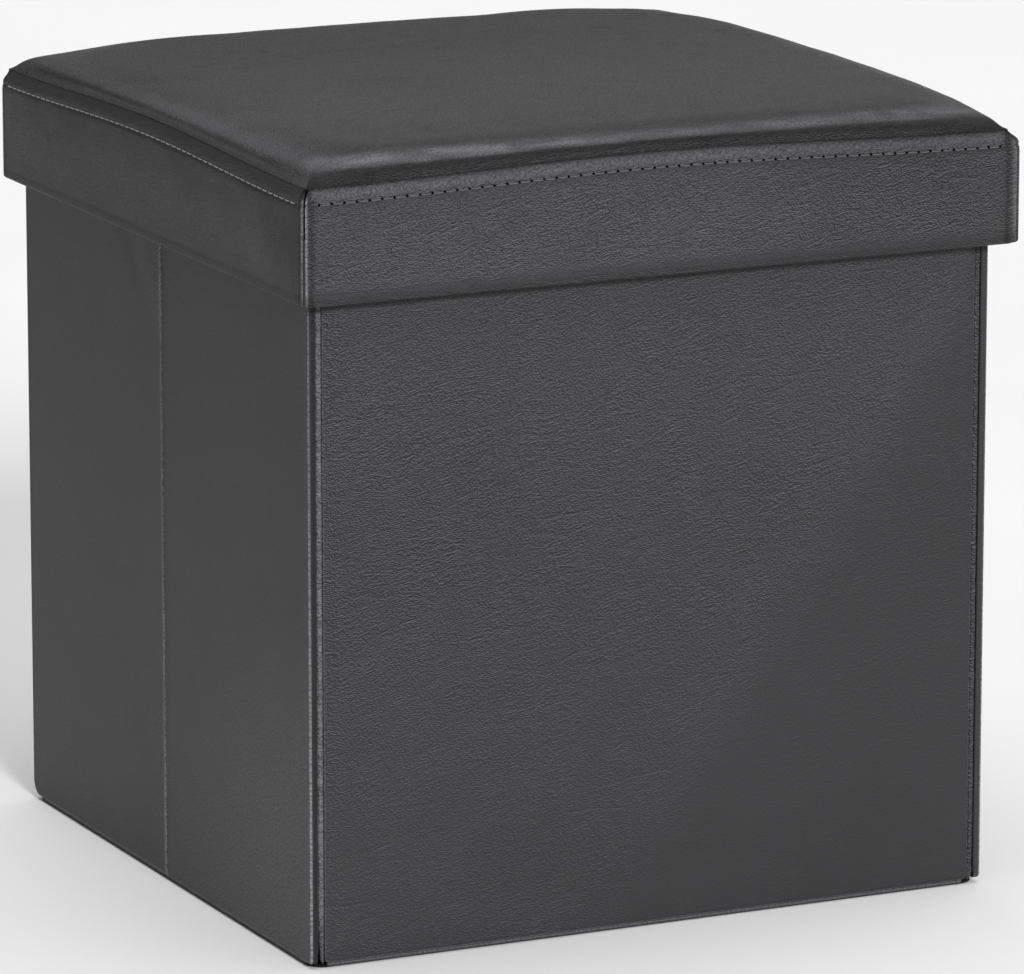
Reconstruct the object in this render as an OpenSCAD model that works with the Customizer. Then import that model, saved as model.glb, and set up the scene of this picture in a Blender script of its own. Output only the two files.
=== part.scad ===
// Folding storage ottoman. A square box of thin boards in leathercloth sleeves
// carries a lift-off padded lid. Each side wall is creased down its middle and
// folds inward, which brings the front wall flat against the back wall, and the
// base board swings up against the back wall first.
// +Z is up, -Y is the front, and the origin is the middle of the footprint.

/* [Box] */
// Outer width of the box, over the two creased side walls
body_w = 366; // [340:1:367]
// Outer depth of the box, from the front wall to the back wall
body_d = 356; // [330:1:368]
// Radius of the lower outer corners of the walls
corner_r = 8; // [3:0.5:12]
// Radius on the upright outer edges of the side walls
edge_r = 1.5; // [1:0.1:2]
// Radius of the welt along the upright edges of the front and back walls
welt_r = 1.5; // [1.2:0.1:1.8]

/* [Lid] */
// Outer width and depth of the lid
lid_w = 381; // [379:1:400]
// Height of the lid's underside, where it meets the walls
lid_seat_z = 350; // [300:1:355]
// How far the lid's skirt hangs below that underside
skirt_drop = 23.7; // [15:0.1:40]
// Height of the seam between the top panel and the skirt
seam_z = 383; // [375:1:390]
// Height of the middle of the padded top
crown_z = 398; // [394:1:410]
// Radius of the padded top's rolled edge
roll_r = 15; // [8:1:20]
// How much lower the padded top is at its rolled edge than in the middle
crown_drop = 3; // [1:0.5:6]
// Thickness of the lid's board
lid_board_t = 9; // [6:0.5:15]

/* [Board and cloth] */
// Thickness of the wall boards and of the lid's rim boards
board_t = 3; // [2:0.1:3.2]
// Thickness of the leathercloth
cover_t = 0.7; // [0.5:0.1:0.8]
// Thickness of the lining cloth
lining_t = 0.5; // [0.3:0.1:0.6]

/* [Base] */
// Thickness of the bottom cloth, which lies on the floor
cloth_t = 0.3; // [0.2:0.1:0.5]
// Height of the hem around the bottom cloth
hem_h = 1.6; // [1.2:0.1:2]
// Thickness of the base board
base_board_t = 1.3; // [1:0.1:1.5]
// Thickness of the cloth on the base board
base_cloth_t = 0.2; // [0.1:0.1:0.3]
// Clear space between the base board's edge and the walls around it
base_margin = 5; // [4:0.5:8]
// Width of the finger notch in the base board's front edge
notch_w = 34; // [24:1:60]
// Depth of that notch
notch_d = 16; // [10:1:30]
// Width of the pull ribbon in the notch
ribbon_w = 20; // [10:1:22]

/* [Folding] */
// Gap between a wall's inner face and the line it folds about
fold_gap = 0.3; // [0.3:0.1:0.5]
// Half of the gap between the two boards of a side wall at the crease
crease_gap = 0.5; // [0.3:0.1:1]
// Room behind the folded side walls for the raised base board
base_slot = 1.9; // [1.8:0.1:2.2]
// Gap between an end of the front or back wall and the side wall beside it
end_gap = 0.4; // [0.3:0.1:0.6]

/* [Hidden] */
wall_t = cover_t + board_t + lining_t;
hem_top = cloth_t + hem_h;
wall_low = hem_top + 0.3;
wall_h = lid_seat_z - 0.3 - wall_low;
hem_inset = 1.5;
hem_w = wall_t - hem_inset - 0.2;

// Fold lines, as Y positions. The rear and front halves are equally long
// between their fold lines, so the front wall stays parallel to the back wall.
back_inner_y = body_d / 2 - wall_t;
rear_line_y = back_inner_y - base_slot;
front_line_y = -body_d / 2 + wall_t + fold_gap;
crease_y = (rear_line_y + front_line_y) / 2;
rear_len = body_d / 2 - crease_y - crease_gap;
front_len = body_d / 2 + crease_y - crease_gap;

// The front and back walls stand between the side walls.
end_x = body_w / 2 - wall_t - end_gap;
panel_w = 2 * (end_x - 2 * welt_r);

base_low = cloth_t + 0.1;
base_w = body_w - 2 * (wall_t + base_margin);
base_rear_y = back_inner_y - 0.2;
base_front_y = -body_d / 2 + wall_t + base_margin;
base_h = base_board_t + base_cloth_t;
base_wrap = 0.3;
hinge_tape_t = 0.15;
hinge_tape_h = 20;
hinge_z = base_low + base_h + 0.3;

lid_half = lid_w / 2;
rim_out = lid_half - cover_t;
rim_in = rim_out - board_t;
skirt_in = rim_in - lining_t;
skirt_low = lid_seat_z - skirt_drop;
lid_board_z = lid_seat_z + lining_t;
foam_z = lid_board_z + lid_board_t;
crown_r = lid_half * lid_half / (2 * crown_drop);

leather = [0.28, 0.28, 0.29];
thread_dark = [0.20, 0.20, 0.21];
fibreboard = [0.66, 0.52, 0.36];
hardboard = [0.45, 0.33, 0.22];
lining_black = [0.09, 0.09, 0.10];
foam_cream = [0.90, 0.86, 0.72];

// ---- Shared shapes ----

// What a rounded corner of radius r takes away from a square one at the origin.
module corner_waste(r) {
    if (r > 0) difference() {
        translate([-1, -1]) square(r + 1);
        translate([r, r]) circle(r = r, $fn = 48);
    }
}

// A rectangle whose two lower corners are rounded.
module rounded_sheet(w, h, r_left, r_right) {
    difference() {
        square([w, h]);
        corner_waste(r_left);
        translate([w, 0]) mirror([1, 0]) corner_waste(r_right);
    }
}

// An upright slab. Its outer face is y = 0, and edges are the radii of its two
// upright outer edges, feet those of its two lower corners, left then right.
module slab(w, t, h, edges, feet) {
    intersection() {
        linear_extrude(h) rounded_sheet(w, t, edges[0], edges[1]);
        translate([0, t, 0]) rotate([90, 0, 0]) linear_extrude(t) rounded_sheet(w, h, feet[0], feet[1]);
    }
}

// ---- The three layers of one wall, from its outer face inwards ----

function inner_feet(feet) = [for (r = feet) max(r - cover_t, 0)];

module wall_board(w, feet, spare = 0) {
    color(fibreboard)
        translate([cover_t, cover_t, cover_t])
            slab(w - 2 * cover_t, board_t + spare, wall_h - 2 * cover_t, [0, 0], inner_feet(feet));
}

module wall_cover(w, edges, feet) {
    color(leather) difference() {
        slab(w, cover_t + board_t, wall_h, edges, feet);
        wall_board(w, feet, 1);
    }
}

module wall_lining(w, feet) {
    color(lining_black)
        translate([0, cover_t + board_t, 0]) slab(w, lining_t, wall_h, [0, 0], feet);
}

// ---- Where each wall stands ----

module at_front() {
    translate([-panel_w / 2, -body_d / 2, wall_low]) children();
}

module at_back() {
    rotate([0, 0, 180]) at_front() children();
}

// A side half's sheet runs forwards from its start, with its outer face at -X.
module at_left(start_y) {
    translate([-body_w / 2, start_y, wall_low]) rotate([0, 0, -90]) children();
}

module at_left_rear() {
    at_left(body_d / 2) children();
}

module at_left_front() {
    at_left(crease_y - crease_gap) children();
}

module at_right() {
    mirror([1, 0, 0]) children();
}

panel_edges = [0, 0];
panel_feet = [corner_r, corner_r];
rear_edges = [edge_r, edge_r / 2];
rear_feet = [corner_r, 0];
front_edges = [edge_r / 2, edge_r];
front_feet = [0, corner_r];

// ---- Front and back walls ----

module front_board() at_front() wall_board(panel_w, panel_feet);
module front_cover() at_front() wall_cover(panel_w, panel_edges, panel_feet);
module front_lining() at_front() wall_lining(panel_w, panel_feet);
module back_board() at_back() wall_board(panel_w, panel_feet);
module back_cover() at_back() wall_cover(panel_w, panel_edges, panel_feet);
module back_lining() at_back() wall_lining(panel_w, panel_feet);

// The welt is a corded bead along an upright edge of the front or back wall.
module welt(side) {
    color(leather)
        translate([side * (end_x - welt_r), -body_d / 2 + welt_r, wall_low])
            cylinder(r = welt_r, h = wall_h, $fn = 32);
}

module front_left_welt() welt(-1);
module front_right_welt() welt(1);
module back_left_welt() rotate([0, 0, 180]) welt(1);
module back_right_welt() rotate([0, 0, 180]) welt(-1);

// ---- Creased side walls ----

module left_rear_board() at_left_rear() wall_board(rear_len, rear_feet);
module left_rear_cover() at_left_rear() wall_cover(rear_len, rear_edges, rear_feet);
module left_rear_lining() at_left_rear() wall_lining(rear_len, rear_feet);
module left_front_board() at_left_front() wall_board(front_len, front_feet);
module left_front_cover() at_left_front() wall_cover(front_len, front_edges, front_feet);
module left_front_lining() at_left_front() wall_lining(front_len, front_feet);
module right_rear_board() at_right() left_rear_board();
module right_rear_cover() at_right() left_rear_cover();
module right_rear_lining() at_right() left_rear_lining();
module right_front_board() at_right() left_front_board();
module right_front_cover() at_right() left_front_cover();
module right_front_lining() at_right() left_front_lining();

// ---- Bottom cloth and its hem ----

hem_x = body_w / 2 - hem_inset;
hem_y = body_d / 2 - hem_inset;

module bottom_cloth() {
    color(lining_black) linear_extrude(cloth_t) square([2 * hem_x, 2 * hem_y], center = true);
}

module hem_across() {
    color(leather)
        translate([corner_r - hem_x, -hem_y, cloth_t]) cube([2 * (hem_x - corner_r), hem_w, hem_h]);
}

module hem_along() {
    color(leather)
        translate([-hem_x, corner_r - hem_y, cloth_t]) cube([hem_w, 2 * (hem_y - corner_r), hem_h]);
}

module bottom_hem_front() hem_across();
module bottom_hem_back() rotate([0, 0, 180]) hem_across();
module bottom_hem_left() hem_along();
module bottom_hem_right() rotate([0, 0, 180]) hem_along();

// ---- Base board, hinged to the foot of the back wall ----

// The base board's outline, drawn in by inset, with its finger notch.
module base_outline(inset) {
    mouth = notch_w + 2 * inset;
    difference() {
        translate([-base_w / 2 + inset, base_front_y + inset])
            square([base_w - 2 * inset, base_rear_y - base_front_y - 2 * inset]);
        translate([-mouth / 2, base_front_y - 1]) square([mouth, notch_d + inset + 1]);
    }
}

module base_board() {
    color(hardboard) translate([0, 0, base_low]) linear_extrude(base_board_t) base_outline(base_wrap);
}

module base_cover() {
    color(lining_black) translate([0, 0, base_low]) difference() {
        linear_extrude(base_h) base_outline(0);
        translate([0, 0, -1]) linear_extrude(base_board_t + 1) base_outline(base_wrap);
    }
}

module base_ribbon() {
    color(thread_dark)
        translate([-ribbon_w / 2, base_front_y + 2, base_low + 0.2])
            cube([ribbon_w, notch_d - 2, base_board_t - 0.4]);
}

module base_hinge_tape() {
    color(lining_black)
        translate([-base_w / 2, back_inner_y - hinge_tape_t, hinge_z])
            cube([base_w, hinge_tape_t, hinge_tape_h]);
}

// ---- Lid ----

// A quarter of a square frame, cut at 45 degrees, on the -Y side.
module mitred_strip(outer, inner, h) {
    linear_extrude(h) polygon([[-outer, -outer], [outer, -outer], [inner, -inner], [-inner, -inner]]);
}

// One side of the skirt: the outer cloth, its turned lower edge and the inner cloth.
module lid_skirt(turns) {
    color(leather) rotate([0, 0, 90 * turns]) union() {
        translate([0, 0, skirt_low]) mitred_strip(lid_half, rim_out, seam_z - skirt_low);
        translate([0, 0, skirt_low]) mitred_strip(lid_half, skirt_in, cover_t);
        translate([0, 0, skirt_low]) mitred_strip(rim_in, skirt_in, lid_board_z - skirt_low);
    }
}

module lid_skirt_front() lid_skirt(0);
module lid_skirt_right() lid_skirt(1);
module lid_skirt_back() lid_skirt(2);
module lid_skirt_left() lid_skirt(3);

// A rim board is half_len to each side of its middle.
module lid_rim(turns, half_len) {
    rim_low = skirt_low + cover_t;
    color(fibreboard)
        rotate([0, 0, 90 * turns])
            translate([-half_len, -rim_out, rim_low]) cube([2 * half_len, board_t, foam_z - rim_low]);
}

module lid_rim_front() lid_rim(0, rim_out);
module lid_rim_right() lid_rim(1, rim_in);
module lid_rim_back() lid_rim(2, rim_out);
module lid_rim_left() lid_rim(3, rim_in);

module lid_board() {
    color(fibreboard)
        translate([-rim_in, -rim_in, lid_board_z]) cube([2 * rim_in, 2 * rim_in, lid_board_t]);
}

module lid_lining() {
    color(lining_black)
        translate([-skirt_in, -skirt_in, lid_seat_z]) cube([2 * skirt_in, 2 * skirt_in, lining_t]);
}

// Cross-section of the pad: upright sides, a rolled edge and a slightly domed top.
module pad_profile(half, low, top, roll, dome) {
    intersection() {
        translate([0, top]) mirror([0, 1]) translate([-half, 0])
            rounded_sheet(2 * half, top - low, roll, roll);
        translate([0, top - dome]) circle(r = dome, $fn = 720);
    }
}

module pad(inset, low) {
    half = lid_half - inset;
    top = crown_z - inset;
    intersection_for(turn = [0, 90])
        rotate([90, 0, turn])
            linear_extrude(2 * half, center = true)
                pad_profile(half, low, top, roll_r - inset, crown_r - inset);
}

module lid_foam() {
    color(foam_cream) pad(cover_t, foam_z);
}

module lid_top_cover() {
    color(leather) difference() {
        pad(0, seam_z);
        pad(cover_t, seam_z - 1);
    }
}

back_board();
back_cover();
back_lining();
back_left_welt();
back_right_welt();
bottom_cloth();
bottom_hem_front();
bottom_hem_back();
bottom_hem_left();
bottom_hem_right();
base_hinge_tape();
base_board();
base_cover();
base_ribbon();
front_board();
front_cover();
front_lining();
front_left_welt();
front_right_welt();
left_rear_board();
left_rear_cover();
left_rear_lining();
left_front_board();
left_front_cover();
left_front_lining();
right_rear_board();
right_rear_cover();
right_rear_lining();
right_front_board();
right_front_cover();
right_front_lining();
lid_board();
lid_lining();
lid_rim_front();
lid_rim_right();
lid_rim_back();
lid_rim_left();
lid_foam();
lid_top_cover();
lid_skirt_front();
lid_skirt_right();
lid_skirt_back();
lid_skirt_left();
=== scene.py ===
import math

import bmesh
import bpy
import numpy as np
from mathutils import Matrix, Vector


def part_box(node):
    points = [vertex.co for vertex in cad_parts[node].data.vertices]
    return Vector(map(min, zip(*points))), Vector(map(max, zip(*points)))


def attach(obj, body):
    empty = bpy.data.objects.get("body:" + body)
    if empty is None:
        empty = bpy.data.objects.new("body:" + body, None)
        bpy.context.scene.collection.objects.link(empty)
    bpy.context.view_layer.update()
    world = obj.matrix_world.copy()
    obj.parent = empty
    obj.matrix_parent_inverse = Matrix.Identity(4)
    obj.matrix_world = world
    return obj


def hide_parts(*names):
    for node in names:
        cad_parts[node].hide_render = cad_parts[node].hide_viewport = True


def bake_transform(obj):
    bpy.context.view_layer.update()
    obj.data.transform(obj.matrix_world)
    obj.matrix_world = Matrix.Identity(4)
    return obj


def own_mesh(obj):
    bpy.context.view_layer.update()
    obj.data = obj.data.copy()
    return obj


# A folding storage ottoman in dark grey leathercloth. Every shown part of the
# box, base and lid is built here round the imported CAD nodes. Lengths in this
# file are in millimetres, and become metres when a mesh is made.

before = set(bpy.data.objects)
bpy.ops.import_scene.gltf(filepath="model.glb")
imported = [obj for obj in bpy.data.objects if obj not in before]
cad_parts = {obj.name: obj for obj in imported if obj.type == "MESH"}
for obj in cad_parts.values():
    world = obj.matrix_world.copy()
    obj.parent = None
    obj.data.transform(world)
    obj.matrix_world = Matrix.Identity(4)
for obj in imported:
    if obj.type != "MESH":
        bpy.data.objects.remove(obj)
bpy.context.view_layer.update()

MM = 0.001
COVER_T = 0.7
# The walls' cloth is cut from places this far apart in its pattern.
FLOW_STEP = 211.0
LEFT, RIGHT, FRONT, BACK, UP = (-1, 0, 0), (1, 0, 0), (0, -1, 0), (0, 1, 0), (0, 0, 1)


def box_mm(node):
    """The lowest and highest corner of a CAD node, in millimetres."""
    low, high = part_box(node)
    return np.array(low) / MM, np.array(high) / MM


FOOT_Z = box_mm("front_cover")[0][2]
SKIRT_LOW, SKIRT_HIGH = box_mm("lid_skirt_front")
LID_HALF, SEAM_Z = SKIRT_HIGH[0], SKIRT_HIGH[2]
CROWN_Z = box_mm("lid_top_cover")[1][2]


# ---------------- numbers

def ease(x):
    """0 below 0, 1 above 1 and smooth between."""
    x = np.clip(x, 0, 1)
    return x * x * (3 - 2 * x)


def bell(x):
    return np.exp(-x * x)


def unit(vectors):
    return vectors / np.linalg.norm(vectors, axis=1)[:, None]


def grid(us, vs):
    """The two coordinates of each point of a grid, along its columns first."""
    return [a.ravel() for a in np.meshgrid(us, vs)]


def columns(*parts):
    """Points, or other rows, from their columns. A number fills its column."""
    return np.stack(np.broadcast_arrays(*parts), 1).astype(float)


def lumps(points, size, seed):
    """Smooth noise from -1 to 1 whose lumps are about size across, at each point."""
    spot = np.asarray(points, float) / size + 31.7 * seed
    cell = np.floor(spot).astype(np.int64)
    part = spot - cell
    part = part * part * (3 - 2 * part)
    total = np.zeros(len(spot))
    for corner in np.ndindex(2, 2, 2):
        key = ((cell + corner) * (73856093, 19349663, 83492791)).sum(1)
        key = (key ^ (key >> 13)) * 1274126177
        value = ((key ^ (key >> 17)) & 0xFFFF) / 32768 - 1
        weight = np.where(corner, part, 1 - part).prod(1)
        total += weight * value
    return total


def spaced(length, step, edge, fine=()):
    """Positions from 0 to length: close together within edge of each end and in each
    (from, to, step) stretch of fine, and about step apart elsewhere."""
    ends = edge * np.array([0, 0.02, 0.08, 0.2, 0.35, 0.55, 0.8, 1])
    count = max(2, round((length - 2 * edge) / step) + 1)
    middle = np.linspace(edge, length - edge, count)[1:-1]
    for low, high, close in fine:
        middle = middle[(middle < low) | (middle > high)]
        middle = np.concatenate([middle, np.arange(low, high, close)])
    whole = np.sort(np.concatenate([ends, middle, length - ends]))
    return whole[np.concatenate([[True], np.diff(whole) > 0.02])]


# ---------------- meshes

def make_piece(name, points, faces, material, flow=None, wear_and_painted_light=None, grain=None):
    """A smooth-shaded object from points in millimetres. flow is the cloth's own (u, v) at each point, the
    next argument how much painted highlight, painted shade and wear its colour gets, and grain how strong
    its grain is."""
    mesh = bpy.data.meshes.new(name)
    mesh.from_pydata((np.asarray(points) * MM).tolist(), [], faces)
    mesh.validate()
    loops = np.zeros(len(mesh.loops), np.int32)
    mesh.loops.foreach_get("vertex_index", loops)
    if flow is not None:
        layer = mesh.uv_layers.new(name="flow")
        layer.data.foreach_set("uv", (np.asarray(flow) * MM)[loops].ravel())
    for label, values in (("wear_and_painted_light", wear_and_painted_light), ("grain", grain)):
        if values is not None:
            data = mesh.attributes.new(label, "FLOAT", "POINT").data
            data.foreach_set("value", np.full(len(points), values, np.float32))
    mesh.shade_smooth()
    mesh.set_sharp_from_angle(angle=math.radians(50))
    mesh.materials.append(material)
    piece = bpy.data.objects.new(name, mesh)
    bpy.context.scene.collection.objects.link(piece)
    return piece


def finish_piece(piece, body, *nodes):
    """Puts a piece on a body, in place of CAD nodes, which it hides."""
    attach(piece, body)
    if nodes:
        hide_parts(*nodes)
    return piece


def grid_faces(rows, width, first=0):
    """Quads of a grid whose points run along its columns first."""
    index = first + np.arange(rows * width).reshape(rows, width)
    quads = np.stack([index[:-1, :-1], index[:-1, 1:], index[1:, 1:], index[1:, :-1]], -1)
    return quads.reshape(-1, 4).tolist()


def flipped(faces):
    return [face[::-1] for face in faces]


def rim_of(rows, width):
    """Indices of a grid's outer points, anticlockwise from the first."""
    index = np.arange(rows * width).reshape(rows, width)
    return np.concatenate([index[0, :-1], index[:-1, -1], index[-1, :0:-1], index[:0:-1, 0]])


def band_faces(a, b):
    """Quads between two closed loops of as many points."""
    return np.stack([a, b, np.roll(b, -1), np.roll(a, -1)], 1).tolist()


def two_sided(first, second, rows, width):
    """Points and faces of a thin closed sheet between two grids. The first faces outwards."""
    rim, count = rim_of(rows, width), len(first)
    faces = grid_faces(rows, width) + flipped(grid_faces(rows, width, count))
    return np.concatenate([first, second]), faces + band_faces(rim, rim + count)


def block_below(top, rows, width, heights):
    """Points and faces of a closed block: a grid for its top, the grid's rim repeated at
    each height below, and a flat underside."""
    rim = last = rim_of(rows, width)
    points, faces, count = [top], grid_faces(rows, width), len(top)
    for z in heights:
        here = np.arange(count, count + len(last))
        faces.extend(band_faces(last, here))
        points.append(columns(*top[rim, :2].T, z))
        last, count = here, count + len(last)
    return np.concatenate(points), faces + [last[::-1].tolist()]


def corner_squares(w, h, radii):
    """Centre and direction of each corner of a w by h sheet, from (0, 0) anticlockwise."""
    signs = ((-1, -1), (1, -1), (1, 1), (-1, 1))
    for r, (su, sv) in zip(radii, signs):
        yield r, (w - r if su > 0 else r), (h - r if sv > 0 else r), su, sv


def round_corners(u, v, w, h, radii):
    """Moves the points in each corner's square onto its quarter disc."""
    new_u, new_v = u.copy(), v.copy()
    for r, cu, cv, su, sv in corner_squares(w, h, radii):
        a, b = su * (u - cu) / r, sv * (v - cv) / r
        inside = (a > 0) & (b > 0)
        a, b = np.clip(a, 0, 1), np.clip(b, 0, 1)
        new_u = np.where(inside, cu + su * r * a * np.sqrt(1 - b * b / 2), new_u)
        new_v = np.where(inside, cv + sv * r * b * np.sqrt(1 - a * a / 2), new_v)
    return new_u, new_v


def from_edge(u, v, w, h, radii, rolls):
    """Distance of each point from the sheet's outline, and the roll radius there.
    rolls are those of the sides u = 0, u = w, v = 0 and v = h."""
    near = np.stack([u, w - u, v, h - v])
    sides = np.array(rolls, float)[:, None]
    reach = near / sides
    which = reach.argmin(0)
    distance = np.take_along_axis(near, which[None], 0)[0]
    roll = np.array(rolls, float)[which]
    for r, cu, cv, su, sv in corner_squares(w, h, radii):
        a, b = su * (u - cu), sv * (v - cv)
        inside = (a > 0) & (b > 0)
        size = np.hypot(a, b) + 1e-9
        share = np.clip(a, 0, None) ** 2 / size**2
        corner_roll = share * rolls[su > 0] + (1 - share) * rolls[2 + (sv > 0)]
        distance = np.where(inside, r - size, distance)
        roll = np.where(inside, corner_roll, roll)
    return np.clip(distance, 0, None), roll


def rounded_grid(us, vs, *outline):
    """The points of a sheet with rounded corners, their distance from its outline and the
    roll radius there. outline is the sheet's width, height, radii and rolls."""
    u, v = round_corners(*grid(us, vs), *outline[:3])
    return (u, v, *from_edge(u, v, *outline))


def rolled_back(distance, roll):
    """How far behind the face a rolled edge lies, at a distance from the outline."""
    left = np.clip(roll - distance, 0, None)
    return roll - np.sqrt(np.clip(roll**2 - left**2, 0, None))


def plate(name, node, u_axis, n_axis, material, radii, rolls, step,
          relief=None, strength=lambda at: 1, wear=None, fade=9, wrap=None,
          fine_u=(), fine_v=(), bottom=None, top=None, shaded=0.6):
    """A closed sheet of cloth or covered board that fills a CAD node's box. Its outer
    face looks along n_axis, u runs to the right along it and v upwards. radii are those of
    its corners, from the lower left anticlockwise, and rolls those of its left, right,
    lower and upper edges. step is how far apart its points are.

    relief and strength are functions of points in millimetres, and so is the option for painted light. They
    give how far the face stands proud, which fades out over fade at its edges, how strong its grain is and
    how much painted light and shade its colour gets, added to the painted highlight along its rolled edges.
    wrap is the cloth's thickness where it wraps a board. fine_u and fine_v are closely meshed stretches.
    bottom and top cut the plate shorter than its node. shaded is how much painted shade darkens its rim
    behind the face."""
    low, high = box_mm(node)
    low[2], high[2] = bottom or low[2], top or high[2]
    u_axis, v_axis, n_axis = np.array([u_axis, UP, n_axis])
    back = (u_axis < 0) | (n_axis > 0)
    origin = np.where(back, high, low)
    w, h, depth = (abs((high - low) @ axis) for axis in (u_axis, v_axis, n_axis))
    edge = max(*radii, *rolls)
    us, vs = spaced(w, step, edge, fine_u), spaced(h, step, edge, fine_v)
    u, v, distance, roll = rounded_grid(us, vs, w, h, radii, rolls)
    n = -rolled_back(distance, roll)

    def placed(u, v, n):
        return origin + u[:, None] * u_axis + v[:, None] * v_axis + n[:, None] * n_axis

    at = placed(u, v, n * 0)
    if relief:
        n = n + relief(at) * ease(distance / fade)
    grain = strength(at) + 0 * u
    # Painted highlight along the rolled edges, with some wear there.
    wear_and_painted_light = bell((distance - 0.3 * roll) / (0.32 * roll)) * np.clip(roll / 1.2, 0, 1)
    if wear:
        wear_and_painted_light = wear_and_painted_light + wear(at)
    rim = rim_of(len(vs), len(us))
    faces = grid_faces(len(vs), len(us))
    rows = [[u], [v], [n], [u], [v], [wear_and_painted_light], [grain]]
    away = np.stack([u[rim] - w / 2, v[rim] - h / 2])
    away = np.where(np.abs(away) > np.array([[w / 2 - 0.01], [h / 2 - 0.01]]), np.sign(away), 0)
    first = min(max(rolls) + 0.15, 0.6 * depth)
    # The rim loops behind the face get painted shade, set by shaded.
    loops = [(0, first, -0.6 * shaded), (0, (first + depth) / 2, -shaded), (0, depth, -shaded)]
    if wrap:
        loops += [(wrap, depth, 0), (wrap, 1.5 * wrap, 0), (3 * wrap, 1.2 * wrap, 0)]
    last, count = rim, len(u)
    for inset, behind, shade in loops:
        down = behind - inset
        new = (inset + u[rim] * (w - 2 * inset) / w, inset + v[rim] * (h - 2 * inset) / h, -behind,
               u[rim] + away[0] * down, v[rim] + away[1] * down, shade, grain[rim])
        for row, values in zip(rows, new):
            row.append(values + 0 * rim)
        here = np.arange(count, count + len(rim))
        faces.extend(band_faces(last, here))
        last, count = here, count + len(rim)
    faces.append(last[::-1].tolist())
    u, v, n, flow_u, flow_v, wear_and_painted_light, grain = map(np.concatenate, rows)
    flow = columns(flow_u, flow_v) + origin[2] + FLOW_STEP * (len(name) % 7)
    if np.dot(np.cross(u_axis, v_axis), n_axis) < 0:
        faces = flipped(faces)
    return make_piece(name, placed(u, v, n), faces, material, flow, wear_and_painted_light, grain)


def tube_points(path, radii, sides, across=UP):
    """Rings of points round a path."""
    path = np.asarray(path, float)
    tangent = unit(np.gradient(path, axis=0))
    first = unit(np.cross(tangent, across))[:, None]
    second = np.cross(tangent, first[:, 0])[:, None]
    turn = np.linspace(0, 2 * math.pi, sides, endpoint=False)[None, :, None]
    ring = np.cos(turn) * first + np.sin(turn) * second
    return (path[:, None] + ring * np.asarray(radii, float)[:, None, None]).reshape(-1, 3)


def tube_faces(count, sides, first=0):
    """Faces of a capped tube of count rings."""
    rings = first + np.arange(count * sides).reshape(count, sides)
    faces = [face for low, high in zip(rings, rings[1:]) for face in band_faces(high, low)]
    return faces + [rings[0, ::-1].tolist(), rings[-1].tolist()]


def folded_strip(path, thickness):
    """A closed loop half a thickness to either side of a path in a plane."""
    tangent = unit(np.gradient(path, axis=0))
    normal = columns(-tangent[:, 1], tangent[:, 0]) * thickness / 2
    return np.concatenate([path + normal, (path - normal)[::-1]])


def strip_faces(count, size):
    """Faces that join count such loops of size points each, and close both ends."""
    faces = []
    for k in range(count - 1):
        loop = np.arange(size) + k * size
        faces.extend(band_faces(loop, loop + size))
    for first, flip in ((0, True), ((count - 1) * size, False)):
        for i in range(size // 2 - 1):
            quad = (first + i, first + i + 1, first + size - 2 - i, first + size - 1 - i)
            faces.append(quad if flip else quad[::-1])
    return faces


# ---------------- materials

GRAIN_DEPTH = 0.36
PEBBLE = 0.82
# The direction that a small slope of the grain faces where painted light draws it lightest; the grain's
# light and shade are painted into its colour.
PAINTED_LIGHT_SLOPE = (0.1, -0.85, 0.86)


def times(share, values):
    return tuple(share * value for value in values)


class Nodes:
    """A node tree. Each input of a node is a value or another node's output."""

    def __init__(self, owner):
        owner.use_nodes = True
        self.tree = owner.node_tree

    def put(self, value, socket):
        if isinstance(value, bpy.types.NodeSocket):
            self.tree.links.new(value, socket)
        else:
            socket.default_value = value

    def add(self, kind, inputs=(), **settings):
        """Adds a node and gives its outputs."""
        made = self.tree.nodes.new("ShaderNode" + kind)
        for key, value in settings.items():
            setattr(made, key, value)
        for key, value in dict(inputs).items():
            self.put(value, made.inputs[key])
        return made.outputs

    def maths(self, operation, a, b=0.0, clamp=False):
        return self.add("Math", {0: a, 1: b}, operation=operation, use_clamp=clamp)[0]

    def product(self, a, b, clamp=False):
        return self.maths("MULTIPLY", a, b, clamp)

    def vectors(self, operation, *values):
        return self.add("VectorMath", enumerate(values), operation=operation)

    def ranged(self, value, low, high, to_low=0.0, to_high=1.0):
        """Carries low to high over to to_low to to_high, with nothing beyond them."""
        return self.add("MapRange", {
            "Value": value, "From Min": low, "From Max": high, "To Min": to_low, "To Max": to_high,
        })[0]

    def mixed(self, factor, a, b):
        """A colour between a and b."""
        a, b = ((*c, 1) if isinstance(c, tuple) else c for c in (a, b))
        return self.add("Mix", {0: factor, 6: a, 7: b}, data_type="RGBA")[2]


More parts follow.
